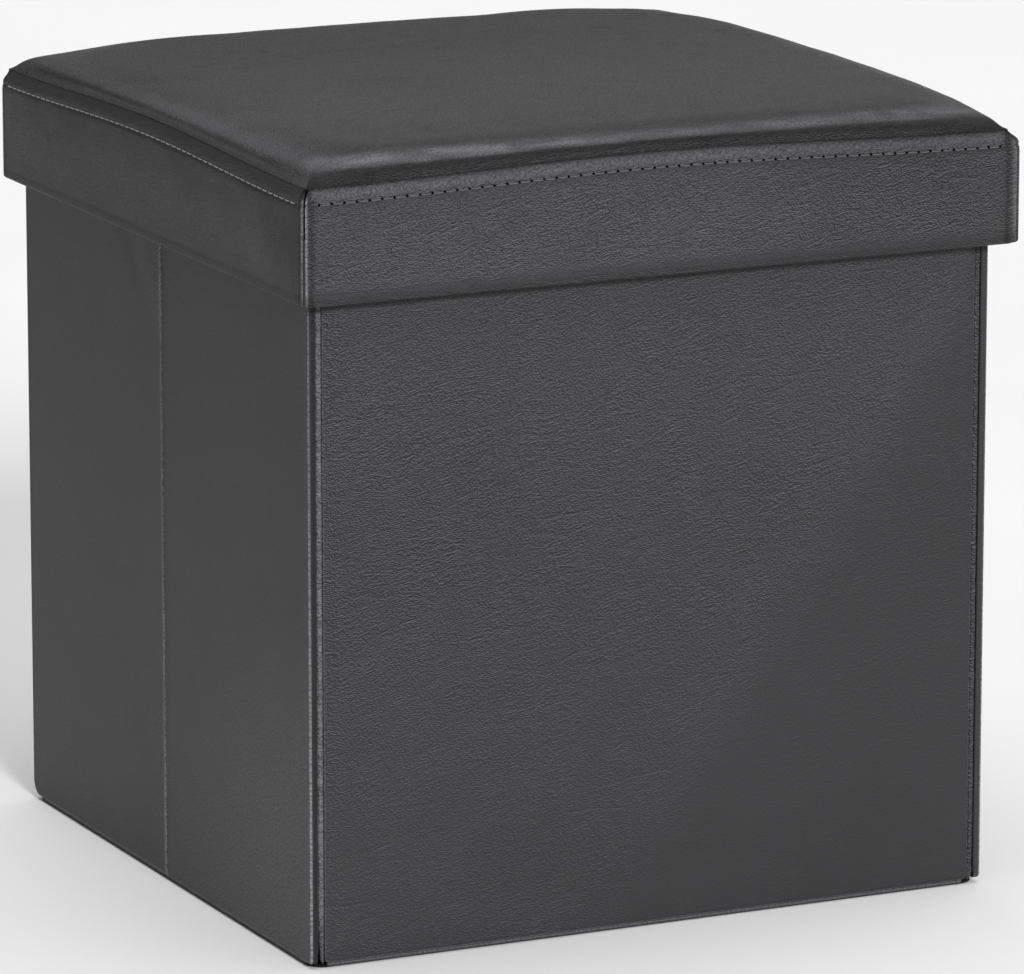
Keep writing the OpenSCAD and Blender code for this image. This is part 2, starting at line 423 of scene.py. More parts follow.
class Surface(Nodes):
    """A new material and its nodes."""

    def __init__(self, name):
        self.material = bpy.data.materials.new(name)
        super().__init__(self.material)
        self.inputs = self.tree.nodes["Principled BSDF"].inputs

    def place(self):
        return self.add("TexCoord")["Object"]

    def stretched(self, vector, turn, along, across):
        """Coordinates turned by some degrees and divided by a length along and across."""
        return self.add("Mapping", {
            "Vector": vector, "Rotation": (0, 0, math.radians(turn)), "Scale": (along * MM, across * MM, MM),
        }, vector_type="TEXTURE")[0]

    def noise(self, vector, scale=1.0, detail=2.0, rough=0.5):
        return self.add("TexNoise", {
            "Vector": vector, "Scale": scale, "Detail": detail, "Roughness": rough,
        })[0]

    def cells(self, vector, feature="F1", scale=1.0, random=1.0):
        return self.add("TexVoronoi", {
            "Vector": vector, "Scale": scale, "Randomness": random,
        }, feature=feature)["Distance"]

    def wave(self, vector, scale, distortion, direction, **more):
        return self.add("TexWave", {
            "Vector": vector, "Scale": scale, "Distortion": distortion, "Detail": 1.0, **more,
        }, bands_direction=direction)["Fac"]

    def bump(self, height, depth):
        """Raises the surface by up to depth millimetres, and gives the new normal."""
        normal = self.add("Bump", {"Height": height, "Strength": 1.0, "Distance": depth * MM})[0]
        self.put(normal, self.inputs["Normal"])
        return normal

    def finish(self, colour, roughness, gloss=None):
        self.put(colour, self.inputs["Base Color"])
        self.put(roughness, self.inputs["Roughness"])
        if gloss is not None:
            self.inputs["Specular IOR Level"].default_value = gloss
        return self.material


def leathercloth(name, tone, wrinkle_size, turn, shine):
    """Grained plastic-coated cloth: small pebbles drawn out at an angle to the cloth's own (u, v), patches
    of longer raised wrinkles and a few creases. The grain's slopes get painted light and shade by the way
    they face, and the cloth gets painted highlights with some wear where its attribute is positive and
    painted shade where it is negative."""
    s = Surface(name)
    flow = s.add("UVMap", uv_map="flow")[0]
    wander = s.add("TexNoise", {"Vector": flow, "Scale": 21.0, "Detail": 1.0})["Color"]
    centred = s.vectors("SUBTRACT", wander, (0.5, 0.5, 0.5))[0]
    bent = s.vectors("MULTIPLY_ADD", centred, (0.011, 0.011, 0.0), flow)[0]
    wrinkle = s.noise(s.stretched(bent, turn, *wrinkle_size), rough=0.45)
    wrinkle = s.maths("ABSOLUTE", s.maths("SUBTRACT", wrinkle, 0.5))
    wrinkle = s.ranged(wrinkle, 0.0, 0.055, 1.0, 0.0)
    patch = s.ranged(s.noise(flow, 38.0), 0.4, 0.6, 0.45, 1.0)
    wrinkle = s.product(wrinkle, patch)
    pebbles = s.noise(s.stretched(bent, turn, 1.5 * PEBBLE, PEBBLE), detail=0.6)
    pebbles = s.ranged(pebbles, 0.38, 0.6)
    crease = s.cells(s.stretched(bent, turn - 6, 52, 12), "DISTANCE_TO_EDGE")
    crease = s.ranged(crease, 0.0, 0.06, 1.0, 0.0)
    crease = s.product(crease, s.ranged(s.noise(flow, 48.0), 0.5, 0.62))
    grain = s.add("Attribute", attribute_name="grain")["Fac"]
    height = s.maths("ADD", s.product(wrinkle, 0.6), s.product(pebbles, 0.6))
    height = s.product(s.maths("SUBTRACT", height, s.product(crease, 0.5)), grain)
    relief = s.maths("ADD", height, s.product(s.noise(flow, 1900.0, rough=0.6), 0.05))
    tilt = s.vectors("SUBTRACT", s.bump(relief, GRAIN_DEPTH), s.add("NewGeometry")["Normal"])[0]
    # Painted light and shade: each small slope of the grain is drawn lighter or darker by the way it faces,
    # as if lit from the front and above.
    upper = s.vectors("DOT_PRODUCT", tilt, PAINTED_LIGHT_SLOPE)["Value"]
    wear_and_painted_light = s.add("Attribute", attribute_name="wear_and_painted_light")["Fac"]
    # Positive values of the attribute lighten the colour with painted highlights and some wear, and negative
    # ones darken it with painted shade.
    beads = s.ranged(s.noise(flow, 760.0, 1.0), 0.36, 0.64, 0.3, 1.0)
    highlight_and_rub = s.product(wear_and_painted_light, beads, clamp=True)
    painted_shade = s.product(wear_and_painted_light, -1.0, clamp=True)
    cloud = s.ranged(s.noise(flow, 9.0, 3.0), 0.3, 0.7)
    colour = s.mixed(cloud, times(0.95, tone), times(1.05, tone))
    for factor, share in (
        (s.ranged(upper, 0.03, 0.42), 3.4), (s.ranged(upper, 0.0, -0.42), 0.3),
        (highlight_and_rub, 7.0), (painted_shade, 0.1),
    ):
        colour = s.mixed(factor, colour, times(share, tone))
    return s.finish(colour, s.ranged(relief, 0.0, 1.0, shine + 0.07, shine - 0.05), 0.15)


def lining_cloth(name, tone):
    """Black non-woven cloth: matted fibres pressed together in rows of small dots."""
    s = Surface(name)
    place = s.place()
    fibres = s.noise(place, 900.0, 4.0, 0.7)
    dots = s.ranged(s.cells(place, "F1", 620.0, 0.25), 0.12, 0.4)
    cloud = s.noise(place, 25.0, 3.0)
    height = s.product(dots, s.ranged(fibres, 0.3, 0.7, 0.5, 1.0))
    s.bump(height, 0.16)
    colour = s.mixed(height, times(0.6, tone), times(1.3, tone))
    colour = s.mixed(s.ranged(cloud, 0.35, 0.7, 0.0, 0.5), colour, times(1.6, tone))
    return s.finish(colour, s.ranged(fibres, 0.3, 0.7, 0.98, 0.8))


def board(name, dark, light, depth):
    """Pressed fibreboard: short crossing fibres, darker flecks and a slightly polished face."""
    s = Surface(name)
    place = s.place()
    one = s.noise(s.stretched(place, 35, 9, 1.1), detail=3.0)
    two = s.noise(s.stretched(place, -50, 7, 0.9), detail=3.0)
    fibres = s.product(s.maths("ADD", one, two), 0.5)
    flecks = s.ranged(s.cells(place, "F1", 260.0), 0.0, 0.22, 1.0, 0.0)
    colour = s.mixed(s.ranged(fibres, 0.35, 0.65), dark, light)
    colour = s.mixed(s.product(flecks, 0.5), colour, times(0.5, dark))
    s.bump(fibres, depth)
    return s.finish(colour, s.ranged(fibres, 0.3, 0.7, 0.75, 0.55))


def foam_material(name):
    """Open-cell foam: small round cells in a cream block."""
    s = Surface(name)
    cells = s.cells(s.place(), "SMOOTH_F1", 900.0)
    s.bump(cells, 0.5)
    colour = s.mixed(s.ranged(cells, 0.1, 0.6), (0.42, 0.36, 0.22), (0.74, 0.68, 0.48))
    return s.finish(colour, s.ranged(cells, 0.1, 0.6, 0.95, 0.85))


def thread_material(name, tone, gloss=0.3):
    """Twisted thread: a fine spiral of two plies."""
    s = Surface(name)
    plies = s.wave(s.place(), 900.0, 2.0, "DIAGONAL")
    s.bump(plies, 0.08)
    return s.finish(s.mixed(plies, times(0.6, tone), tone), s.ranged(plies, 0.0, 1.0, 0.7, 0.5), gloss)


def ribbon_material(name, tone):
    """Grosgrain ribbon: fine ribs across its length."""
    s = Surface(name)
    place = s.place()
    ribs = s.wave(place, 420.0, 0.4, "Y", **{"Detail Scale": 3.0})
    s.bump(ribs, 0.2)
    yarn = s.noise(place, 1500.0)
    return s.finish(s.mixed(ribs, times(0.5, tone), tone), s.ranged(yarn, 0.3, 0.7, 0.75, 0.5))


GREY = (0.040, 0.040, 0.0422)
WALL_CLOTH = leathercloth("leathercloth_walls", GREY, (10.0, 2.8), 19, 0.42)
TOP_CLOTH = leathercloth("leathercloth_top", times(0.9, GREY), (9.0, 2.6), 14, 0.36)
LINING = lining_cloth("nonwoven_black", (0.014, 0.014, 0.016))
FIBREBOARD = board("fibreboard", (0.30, 0.19, 0.10), (0.47, 0.33, 0.19), 0.1)
GREYBOARD = board("greyboard", (0.012, 0.012, 0.012), (0.02, 0.02, 0.02), 0.08)
HARDBOARD = board("hardboard", (0.12, 0.065, 0.03), (0.23, 0.13, 0.07), 0.08)
FOAM = foam_material("foam_cream")
THREAD = thread_material("thread_grey", (0.15, 0.15, 0.153))
# A lighter copy of the grey thread for the stitches on the left and right sides, as painted highlight.
PAINTED_LIT_THREAD = thread_material("thread_painted_lit", (0.42, 0.42, 0.425))
# Near-black dots without gloss stand in for the shade in the needle holes.
HOLE_SHADE = thread_material("needle_hole_painted_shade", (0.002, 0.002, 0.002), 0.0)
RIBBON = ribbon_material("ribbon_black", (0.03, 0.03, 0.034))


# ---------------- box

FRONT_FOLD = (88, 200, 170, 325)
HALF_WIDTH = 178


def beyond_fold(at):
    """How far each point is to the right of the front's soft diagonal fold, which goes
    from a low x and z to a high x and z."""
    x_low, z_low, x_high, z_high = FRONT_FOLD
    run, rise = x_high - x_low, z_high - z_low
    return ((at[:, 0] - x_low) * rise - (at[:, 2] - z_low) * run) / math.hypot(run, rise)


def fullness(at):
    return 0.9 * ease((HALF_WIDTH - np.abs(at[:, 0])) / 90) * ease(at[:, 2] / 60)


def front_relief(at):
    """The cloth is fuller in the middle, and falls away beyond a soft diagonal fold that
    runs down from the upper right corner."""
    z, beyond = at[:, 2], beyond_fold(at)
    fold = 1.5 * (1 - ease((beyond + 8) / 62)) + 0.35 * bell((beyond + 6) / 9) * ease((z - 190) / 90)
    waves = 0.35 * lumps(at, 70, 1) + 0.14 * lumps(at, 26, 2) * ease((z - 60) / 200)
    return 0.5 + fold + fullness(at) + waves


def front_strength(at):
    """The grain is drawn smooth low down and beyond the diagonal fold."""
    high = 0.34 + 0.66 * ease((at[:, 2] - 20) / 260)
    return high * (1 - 0.68 * ease((beyond_fold(at) + 12) / 45))


def front_wear(at):
    """Painted light: the upper front is drawn a little lighter, painted shade darkens it beyond the diagonal
    fold, and the painted highlight of the rolled edges is taken off its lower edge.
    """
    beyond = ease(beyond_fold(at) / 40)
    lower_edge = bell((at[:, 2] - FOOT_Z - 0.7) / 0.9)
    return 0.035 * ease((at[:, 2] - 190) / 100) * (1 - beyond) - 0.05 * beyond - 0.3 * lower_edge


def back_relief(at):
    return 0.5 + fullness(at) + 0.4 * lumps(at, 80, 3) + 0.12 * lumps(at, 28, 4)


def back_strength(at):
    return 0.45 + 0.45 * ease((at[:, 2] - 20) / 260)


def gathered(at):
    """Fine slanting ridges beside the upper end of the crease: their wave, and how
    strongly the rear half is gathered at each point."""
    y, z = at[:, 1], at[:, 2]
    reach = 4 + 9 * ease((z - 285) / 40)
    near = np.clip(1 - np.abs(y - 1.5) / reach, 0, 1) * (y > -0.8)
    wave = np.sin(2 * math.pi * (z + 0.52 * y) / 2.3 + 1.7 * lumps(at, 6, 7))
    return wave, near * ease((z - 270) / 30) * ease((350 - z) / 6)


def side_relief(at):
    """The folding halves lie face to face when folded, so they only dip inwards. Near the
    top of the crease the rear half is gathered into puckers, beside one soft fold."""
    y, z = at[:, 1], at[:, 2]
    dip = -0.22 + 0.16 * lumps(at, 75, 5) + 0.04 * lumps(at, 24, 6)
    wave, near = gathered(at)
    fold = bell((0.82 * (y - 30) - 0.57 * (z - 306)) / 8) * bell((z - 312) / 26)
    dip = dip - 0.34 * fold * (y > 0) + 0.26 * wave * near
    return np.clip(dip, -0.6, -0.02)


def crease_wear(at):
    """Painted highlights on the rear half's edge at the crease and on the ridges of its puckers, over the
    side walls' painted light and shade.
    """
    wave, near = gathered(at)
    edge = bell((at[:, 1] - 0.9) / 1.2) * (0.6 + 0.3 * lumps(at, 1.6, 18))
    return np.clip(edge, 0, 1) + near * (0.15 + 0.55 * np.clip(wave, 0, 1)) + foot_wear(at)


def foot_wear(at):
    """Painted light and shade: the side walls' cloth is drawn paler towards the floor and towards the front,
    and darker towards the top, under the lid.
    """
    low = ease((330 - at[:, 2]) / 310)
    return 0.45 * low - 0.41 + (0.09 + 0.12 * low) * ease((40 - at[:, 1]) / 200)


def side_strength(at):
    """The grain shows most on the puckers beside the crease."""
    puckered = bell((at[:, 1] - 4) / 9) * ease((at[:, 2] - 270) / 30)
    return 0.22 + 0.1 * ease((at[:, 2] - 200) / 150) + 0.5 * puckered


def lining_relief(at):
    return 0.1 + 0.08 * lumps(at, 60, 8) + 0.05 * lumps(at, 17, 9)


# Radii of the walls' corners and rolled edges, and how far the cloth turns in at the top.
SMALL, NEAR_FOOT, FOOT = 1.0, 2.5, 8.0
FLAT_ROLL, CREASE_ROLL, CORNER_EDGE = 0.5, 0.7, 1.2
TURN_IN = 15.0


def build_wall(wall, body, u_axis, n_axis, feet, rolls, relief, strength, step, **extra):
    """A wall's leathercloth sleeve, its lining and the sleeve's turned-in upper edge. feet
    are the radii of its two lower corners, and rolls those of its left and right edges."""
    inward, other_way = times(-1, n_axis), times(-1, u_axis)
    cover = plate(f"{wall}_sleeve", f"{wall}_cover", u_axis, n_axis, WALL_CLOTH, (*feet, SMALL, SMALL),
                  (*rolls, 1.1, 1.0), step, relief=relief, strength=strength, wrap=COVER_T, **extra)
    finish_piece(cover, body, f"{wall}_cover")
    node = f"{wall}_lining"
    fold = box_mm(node)[1][2] - TURN_IN
    cloth = plate(f"{node}_cloth", node, other_way, inward, LINING, (FOOT, FOOT, SMALL, SMALL),
                  (0.3,) * 4, 7.0, relief=lining_relief, top=fold)
    finish_piece(cloth, body, node)
    edge = plate(f"{wall}_turn_in", node, other_way, inward, WALL_CLOTH, (0.8,) * 4, (0.3,) * 4, 3.0,
                 bottom=fold + 0.2, strength=lambda at: 0.3)
    finish_piece(edge, body)


def build_crease(name, rear, front):
    """The strip of cloth that joins a side wall's two folding halves behind their gap."""
    low, high = box_mm(f"{rear}_cover")
    gap_rear, gap_front = low[1], box_mm(f"{front}_cover")[1][1]
    outwards = math.copysign(1, low[0])
    face = low[0] if outwards < 0 else high[0]
    across = np.linspace(gap_rear + 0.5, gap_front - 0.5, 13)
    heights = np.linspace(low[2] + 1, high[2] - 1, 40)
    y, z = grid(across, heights)
    outer = columns(face - outwards * 0.75, y, z)
    inner = outer - (0.3 * outwards, 0, 0)
    points, faces = two_sided(outer, inner, len(heights), len(across))
    if outwards < 0:
        faces = flipped(faces)
    # The strip gets painted shade, as shade in the gap between the halves.
    strip = make_piece(name, points, faces, WALL_CLOTH, points[:, 1:] + (90, 0), -0.3, 0.5)
    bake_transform(strip)


build_wall("front", "front", RIGHT, FRONT, (NEAR_FOOT, NEAR_FOOT), (FLAT_ROLL, FLAT_ROLL),
           front_relief, front_strength, 2.2, wear=front_wear)
build_wall("back", "root", LEFT, BACK, (NEAR_FOOT, NEAR_FOOT), (FLAT_ROLL, FLAT_ROLL),
           back_relief, back_strength, 3.0)
# The side walls' rear halves are meshed finely at their puckers, 17 mm from the crease.
SIDE_WALL = (side_relief, side_strength, 3.0)
PUCKERED = {"fine_v": [(272, 330, 0.75)], "wear": crease_wear, "fade": 4}
build_wall("left_rear", "left_rear", FRONT, LEFT, (FOOT, SMALL), (CORNER_EDGE, CREASE_ROLL),
           *SIDE_WALL, fine_u=[(160, 177, 0.8)], **PUCKERED)
build_wall("left_front", "left_front", FRONT, LEFT, (SMALL, NEAR_FOOT), (CREASE_ROLL, CORNER_EDGE),
           *SIDE_WALL, wear=foot_wear, fade=4)
build_wall("right_front", "right_front", BACK, RIGHT, (NEAR_FOOT, SMALL), (CORNER_EDGE, CREASE_ROLL),
           *SIDE_WALL, wear=foot_wear, fade=4, shaded=0.0)
build_wall("right_rear", "right_rear", BACK, RIGHT, (SMALL, FOOT), (CREASE_ROLL, CORNER_EDGE),
           *SIDE_WALL, fine_u=[(1, 18, 0.8)], **PUCKERED)
build_crease("left_crease_strip", "left_rear", "left_front")
build_crease("right_crease_strip", "right_rear", "right_front")


def build_welt(name, body, seed, highlight_and_rub):
    """A corded bead along an upright edge, gathered a little by its stitches. The last argument is how much
    painted highlight, with some wear, lightens its cloth."""
    low, high = box_mm(name)
    centre, radius = (low + high) / 2, (high[0] - low[0]) / 2
    outwards = math.copysign(1, centre[0])
    heights = np.append(np.arange(low[2], high[2], 0.8), high[2])
    ends = np.minimum(heights - low[2], high[2] - heights)
    spot = columns(heights, seed, 0)
    gather = 0.09 * lumps(spot, 1.3, seed) + 0.08 * lumps(spot, 4, seed)
    taper = 1 - 0.4 * highlight_and_rub * (1 - ease((heights - low[2]) / 24))
    radii = (radius + 0.15 + gather) * taper * (0.35 + 0.65 * np.sqrt(ease(ends / 2.2)))
    across = centre[0] - outwards * (radius - radii)
    path = columns(across, centre[1] + 0.1 * np.sign(-centre[1]), heights)
    sides = 14
    points = tube_points(path, radii, sides, across=(1, 0, 0))
    around = np.tile(np.arange(sides) * 2 * math.pi * radius / sides, len(path))
    up = np.repeat(heights, sides)
    # Painted highlight on the bead, broken up where the stitches gather it.
    wear_and_painted_light = np.clip(0.5 + 0.35 * np.repeat(gather / 0.17, sides), 0, 1)
    wear_and_painted_light *= highlight_and_rub * (0.3 + 0.7 * ease(np.repeat(heights - low[2], sides) / 30))
    welt = make_piece(f"{name}_bead", points, tube_faces(len(path), sides), WALL_CLOTH,
                      columns(around, up), wear_and_painted_light, 1.3)
    finish_piece(welt, body, name)


build_welt("front_left_welt", "front", 11, 1.0)
build_welt("front_right_welt", "front", 12, 0.08)
build_welt("back_left_welt", "root", 13, 0.4)
build_welt("back_right_welt", "root", 14, 0.4)


# ---------------- bottom

def fold_up(piece):
    """Gives the bottom cloth or one of its hems a mesh of its own."""
    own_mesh(piece)


def flat_plate(name, node, material, corner, roll, step, wave=lambda at: 0):
    """A closed sheet that lies flat and fills a CAD node's box."""
    low, high = box_mm(node)
    w, h = (high - low)[:2]
    us, vs = (spaced(side, step, max(corner, roll)) for side in (w, h))
    u, v, distance, rolls = rounded_grid(us, vs, w, h, (corner,) * 4, (roll,) * 4)
    at = columns(u + low[0], v + low[1], high[2] - rolled_back(distance, rolls))
    at[:, 2] += wave(at) * ease(distance / 8)
    points, faces = block_below(at, len(vs), len(us), [low[2]])
    wear_and_painted_light = np.zeros(len(points))
    # Painted highlight along the edges, with some wear there.
    wear_and_painted_light[:len(at)] = 0.4 * bell(distance / 1.2)
    piece = make_piece(name, points, faces, material, points[:, :2] + 37, wear_and_painted_light, 0.3)
    return finish_piece(piece, "root", node)


bottom = flat_plate("bottom_sheet", "bottom_cloth", LINING, 9.0, 0.1, 9.0,
                    lambda at: 0.05 * lumps(at, 40, 21) - 0.05)
hems = [
    flat_plate(f"bottom_hem_{side}_strip", f"bottom_hem_{side}", WALL_CLOTH, 1.2, 0.7, 4.0)
    for side in ("front", "back", "left", "right")
]
fold_up(bottom)
for hem in hems:
    fold_up(hem)


# ---------------- base

NOTCH = (34, 16)
RIBBON_T = 0.32


def outline_with_notch(low, high, radius):
    """The base board's outline with rounded corners, and its notch in the front edge."""
    half, deep = NOTCH[0] / 2, NOTCH[1]
    corners = [
        (low[0], low[1], radius), (-half, low[1], radius), (-half, low[1] + deep, 4),
        (half, low[1] + deep, 4), (half, low[1], radius), (high[0], low[1], radius),
        (high[0], high[1], radius), (low[0], high[1], radius),
    ]
    loop = []
    for k, (x, y, r) in enumerate(corners):
        here = Vector((x, y))
        before = (Vector(corners[k - 1][:2]) - here).normalized()
        after = (Vector(corners[(k + 1) % len(corners)][:2]) - here).normalized()
        start, end = here + before * r, here + after * r
        for t in np.arange(7) / 6:
            loop.append(start * (1 - t) ** 2 + here * 2 * t * (1 - t) + end * t * t)
    return loop


def build_base():
    """The base board's cloth cover, with the notch for the pull ribbon."""
    low, high = box_mm("base_cover")
    loop = outline_with_notch(low, high, 3)
    bm = bmesh.new()
    bottom_ring = [bm.verts.new((p.x * MM, p.y * MM, low[2] * MM)) for p in loop]
    face = bm.faces.new(bottom_ring)
    made = bmesh.ops.extrude_face_region(bm, geom=[face])
    lifted = [g for g in made["geom"] if isinstance(g, bmesh.types.BMVert)]
    bmesh.ops.translate(bm, verts=lifted, vec=(0, 0, (high[2] - low[2]) * MM))
    level = [e for e in bm.edges if abs(e.verts[0].co.z - e.verts[1].co.z) < 1e-6]
    bmesh.ops.bevel(bm, geom=level, offset=0.35 * MM, segments=2, affect="EDGES", profile=0.6)
    bmesh.ops.recalc_face_normals(bm, faces=bm.faces)
    mesh = bpy.data.meshes.new("base_board_cover")
    bm.to_mesh(mesh)
    bm.free()
    mesh.shade_smooth()
    mesh.set_sharp_from_angle(angle=math.radians(35))
    mesh.materials.append(LINING)
    cover = bpy.data.objects.new("base_board_cover", mesh)
    bpy.context.scene.collection.objects.link(cover)
    finish_piece(cover, "base", "base_cover")


def build_ribbon():
    """A short flat loop of ribbon across the notch, folded back on itself."""
    low, high = box_mm("base_ribbon")
    middle = (low[2] + high[2]) / 2
    rise = (high[2] - low[2]) / 2 - RIBBON_T / 2
    turn = np.linspace(-math.pi / 2, math.pi / 2, 9)
    nose = columns(low[1] + rise - rise * np.cos(turn) + RIBBON_T / 2, middle + rise * np.sin(turn))
    lower = columns(np.linspace(high[1], nose[0, 0], 12), nose[0, 1])
    upper = columns(np.linspace(nose[-1, 0], high[1], 12), nose[-1, 1])
    loop = folded_strip(np.concatenate([lower[:-1], nose, upper[1:]]), RIBBON_T)
    xs = np.linspace(low[0], high[0], 12)
    points = np.concatenate([columns(x, *loop.T) for x in xs])
    ribbon = make_piece("base_pull_ribbon", points, strip_faces(len(xs), len(loop)), RIBBON)
    finish_piece(ribbon, "base", "base_ribbon")


build_base()
build_ribbon()
tape = plate("base_hinge_strip", "base_hinge_tape", RIGHT, FRONT, LINING, (0.5,) * 4, (0.05,) * 4, 6.0)
finish_piece(tape, "root", "base_hinge_tape")


# ---------------- lid

LEAN = 2.8
CORNER_GAP = 0.65
CORNER_ROLL = 1.4
SEAM_RISE = 4.2
SWAY = 3.0
INSIDE_TOP = 350.2
STITCH_DROP = 7.6
STITCH_PITCH = 6.5
THREAD_RADIUS = 0.3
SIDES = ("front", "right", "back", "left")


def turned(points, quarter):
    """Points of the front side turned to another side of the lid."""
    x, y, z = np.asarray(points, float).T
    for _ in range(quarter):
        x, y = -y, x
    return columns(x, y, z)


def swayed(points):
    """The skirt's outer cloth hangs a little further out at the right."""
    return points + columns(SWAY * ease((points[:, 0] - LID_HALF + 3.5) / 3), 0, 0)


def seam_height(x):
    """The seam round the pad rises towards the middle of each side."""
    return SEAM_Z + SEAM_RISE * np.cos(math.pi / 2 * np.clip(x / LID_HALF, -1, 1)) ** 2


def skirt_reach(x, z, quarter):
    """How far the skirt's outer face stands from the lid's middle. It is pinched at its
    topstitching and leans in above it to the seam."""
    at = turned(columns(x, -LID_HALF, z), quarter)
    below_seam = seam_height(x) - z
    lean = LEAN * ease((STITCH_DROP + 0.6 - below_seam) / (STITCH_DROP + 0.6)) ** 1.25
    pinch = 0.4 * bell((below_seam - STITCH_DROP) / 1.1)
    inner = ease((LID_HALF - np.abs(x)) / 14) * ease((z - SKIRT_LOW[2]) / 10)
    full = 1.3 * bell((below_seam - 24) / 17) * ease((LID_HALF - np.abs(x)) / 50)
    waves = 0.3 * lumps(at, 45, 31) + 0.16 * lumps(at * (1, 1, 1.6), 17, 32)
    end_bulge = 0.7 * bell((x - 150) / 22) * bell((z - 350) / 14)
    calm = 1 - ease((STITCH_DROP + 3 - below_seam) / 4)
    corner = rolled_back(LID_HALF - np.abs(x), CORNER_ROLL)
    return LID_HALF - lean - pinch + inner * calm * (0.25 + full + waves + end_bulge) - corner


def skirt_lines():
    """Positions along one side of the skirt, close together near its corners."""
    near = LID_HALF * (1 - np.array([0, 0.05, 0.2, 0.45, 0.8, 1.2, 1.7, 2.6, 4, 6]) / LID_HALF)
    middle = np.linspace(-LID_HALF + 8, LID_HALF - 8, 187)
    return np.concatenate([-near, middle, near[::-1]])


def skirt_wear(points, quarter):
    """Painted light and shade: painted highlights on the slit corners' edges, most at the near corner, along
    the seam's edge and on the band above the topstitching; painted shade in the seam, at the corners' gaps,
    beside the corner edges and under the hem; and the left and right sides painted darker, and the front a
    little darker to the right."""
    x, z = points[:, 0], points[:, 2]
    below, edge = seam_height(x) - z, LID_HALF - np.abs(x)
    beside = quarter in (1, 3)
    near_corner = (quarter == 0) * (x < 0) + (quarter == 3) * (x > 0)
    # The corner edges get the full painted highlight at the near corner and less at the others.
    corner_highlight = np.where(near_corner, 1, 0.45)
    wear_and_painted_light = np.clip(corner_highlight * bell((edge - 1.5) / 0.9) + 0.16 * bell((below - 0.5) / 0.4), 0, 1)
    wear_and_painted_light -= 0.55 * bell((edge - 4.2) / 1.2) + 0.8 * bell(edge / 0.5)
    wear_and_painted_light -= 0.3 * bell((z - SKIRT_LOW[2] - 2) / 3.5) + 0.8 * bell(below / 0.75)
    wear_and_painted_light += 0.05 + (0.16 if beside else 0.26) * bell((below - 3.8) / 2.6)
    if quarter == 0:
        wear_and_painted_light += 0.03 - 0.07 * ease(x / 150)
    if beside:
        wear_and_painted_light -= 0.62 - 0.14 * ease((60 - turned(points, quarter)[:, 1]) / 200)
    return wear_and_painted_light


def build_skirt(quarter):
    """One side of the skirt: cloth that comes down from the seam, turns under the rim
    board's edge and goes up inside to the lid's lining."""
    side = SIDES[quarter]
    low, high = SKIRT_LOW, SKIRT_HIGH
    t = COVER_T
    inner_face = -high[1]
    radius = (LID_HALF - inner_face) / 2
    centre = inner_face + radius
    foot = low[2] + radius
    turn = np.linspace(0, math.pi, 11)
    xs = skirt_lines()
    share = np.concatenate([
        np.linspace(1, 0.9, 12), np.linspace(0.9, 0.83, 12)[1:], np.linspace(0.83, 0, 26)[1:],
    ])
    loops = []
    for x_far in xs:
        z = foot + share * (float(seam_height(x_far)) - foot)
        outer = columns(skirt_reach(np.full(len(z), x_far), z, quarter) - t / 2, z)
        outer[0] -= (0.25, 0)
        foot_reach = centre + (radius - t / 2) * np.cos(turn)
        foot_reach -= (LID_HALF - t / 2 - outer[-1, 0]) * (1 + np.cos(turn)) / 2
        under = columns(foot_reach, foot - (radius - t / 2) * np.sin(turn))
        inside = columns(inner_face + t / 2, np.linspace(foot, INSIDE_TOP, 8))
        loop = folded_strip(np.concatenate([outer, under[1:-1], inside]), t)
        loops.append(columns(x_far * (loop[:, 0] - CORNER_GAP) / LID_HALF, -loop[:, 0], loop[:, 1]))
    size = len(loops[0])
    half = size // 2
    points = np.concatenate(loops)
    faces = strip_faces(len(xs), size)
    if np.linalg.norm(points[half // 2]) < np.linalg.norm(points[size - half // 2]):
        faces = flipped(faces)
    down = np.tile(np.concatenate([np.arange(half), np.arange(half)[::-1]]), len(xs))
    z = points[:, 2]
    flow = columns(points[:, 0] + 400 * quarter, np.where(down < len(share) - 2, z, 2 * low[2] - z))
    strength = 0.35 + (0.35 if quarter in (1, 3) else 1.0) * ease((z - low[2] - 5) / 9)
    skirt = make_piece(f"lid_skirt_{side}_cloth", swayed(turned(points, quarter)), faces, WALL_CLOTH,
                       flow, skirt_wear(points, quarter), strength)
    finish_piece(skirt, "lid", f"lid_skirt_{side}")


